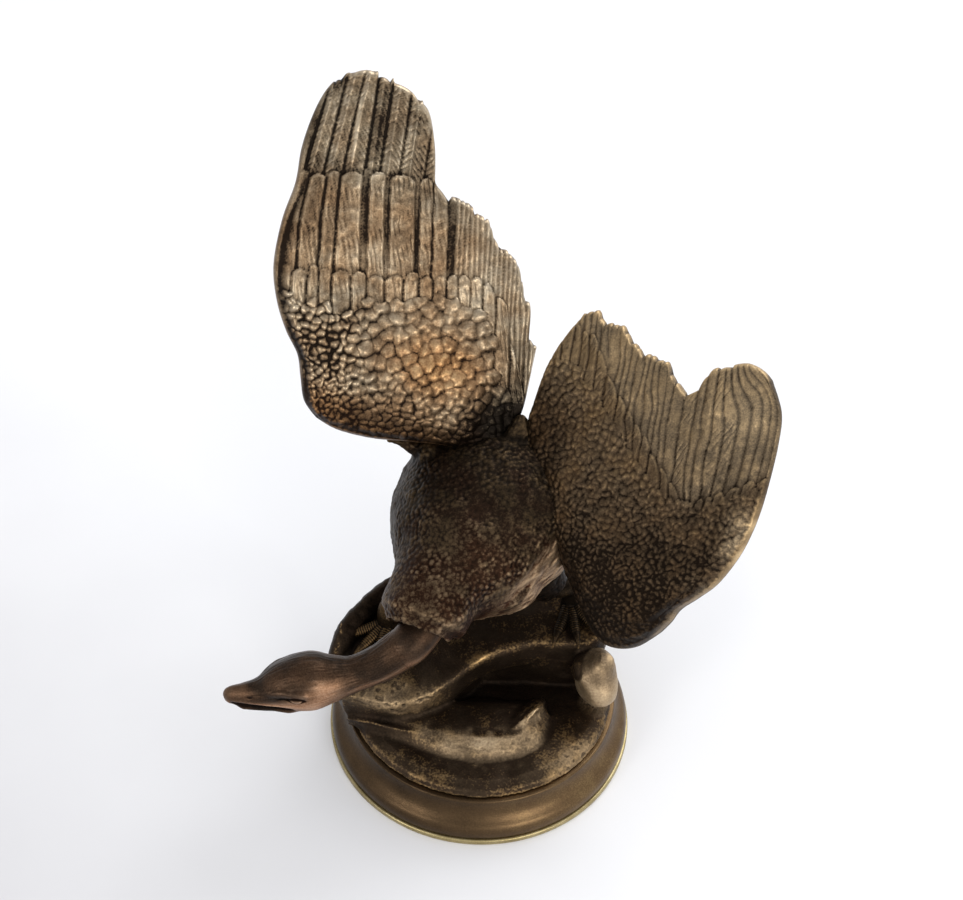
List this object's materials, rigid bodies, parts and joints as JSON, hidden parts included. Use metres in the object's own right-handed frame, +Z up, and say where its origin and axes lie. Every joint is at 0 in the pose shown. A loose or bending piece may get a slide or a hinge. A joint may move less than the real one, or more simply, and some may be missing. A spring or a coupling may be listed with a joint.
{
  "type": "bronze bird sculpture",
  "caption": "Cast bronze vulture with raised wings and a low outstretched neck, standing on a rock on a round turned plinth.",
  "frame": {"origin": "centre of the base plate's flat underside", "axes": "+Z up out of the underside; the bird's back and the upper faces of its wings look towards -Y; its head reaches towards -X"},
  "size_m": [0.1203, 0.1016, 0.1473],
  "materials": {
    "plate_brass": "worn bright brass edge",
    "plinth_bronze": "satin turned bronze, brown patina rubbed through on the high mouldings",
    "rock_bronze": "rough cast bronze, dark brown patina with worn golden edges",
    "feather_bronze": "chased cast bronze, dark brown patina with worn feather tops",
    "wing_bronze": "chased cast bronze, golden brown patina with dark recesses",
    "skin_bronze": "smooth chestnut patina, satin",
    "fixing_steel": "plain steel fixings, hidden inside"
  },
  "bodies": {
    "root": {"base_plate": "plate_brass", "plinth": "plinth_bronze", "rock_terrace": "rock_bronze", "base_plate_screw_1": "fixing_steel", "base_plate_screw_2": "fixing_steel", "base_plate_screw_3": "fixing_steel", "rock_screw_1": "fixing_steel", "rock_screw_2": "fixing_steel", "rock_screw_3": "fixing_steel", "right_foot_stud": "fixing_steel", "right_foot_washer": "fixing_steel", "right_foot_nut": "fixing_steel", "left_foot_stud": "fixing_steel", "left_foot_washer": "fixing_steel", "left_foot_nut": "fixing_steel", "torso": "feather_bronze", "head_and_neck": "skin_bronze", "tail_fan": "feather_bronze", "right_wing": "wing_bronze", "left_wing": "wing_bronze", "right_foot": "skin_bronze", "left_foot": "skin_bronze", "neck_pin": "fixing_steel", "right_wing_pin": "fixing_steel", "left_wing_pin": "fixing_steel", "tail_pin": "fixing_steel", "right_leg_pin": "fixing_steel", "left_leg_pin": "fixing_steel"}
  },
  "joints": []
}
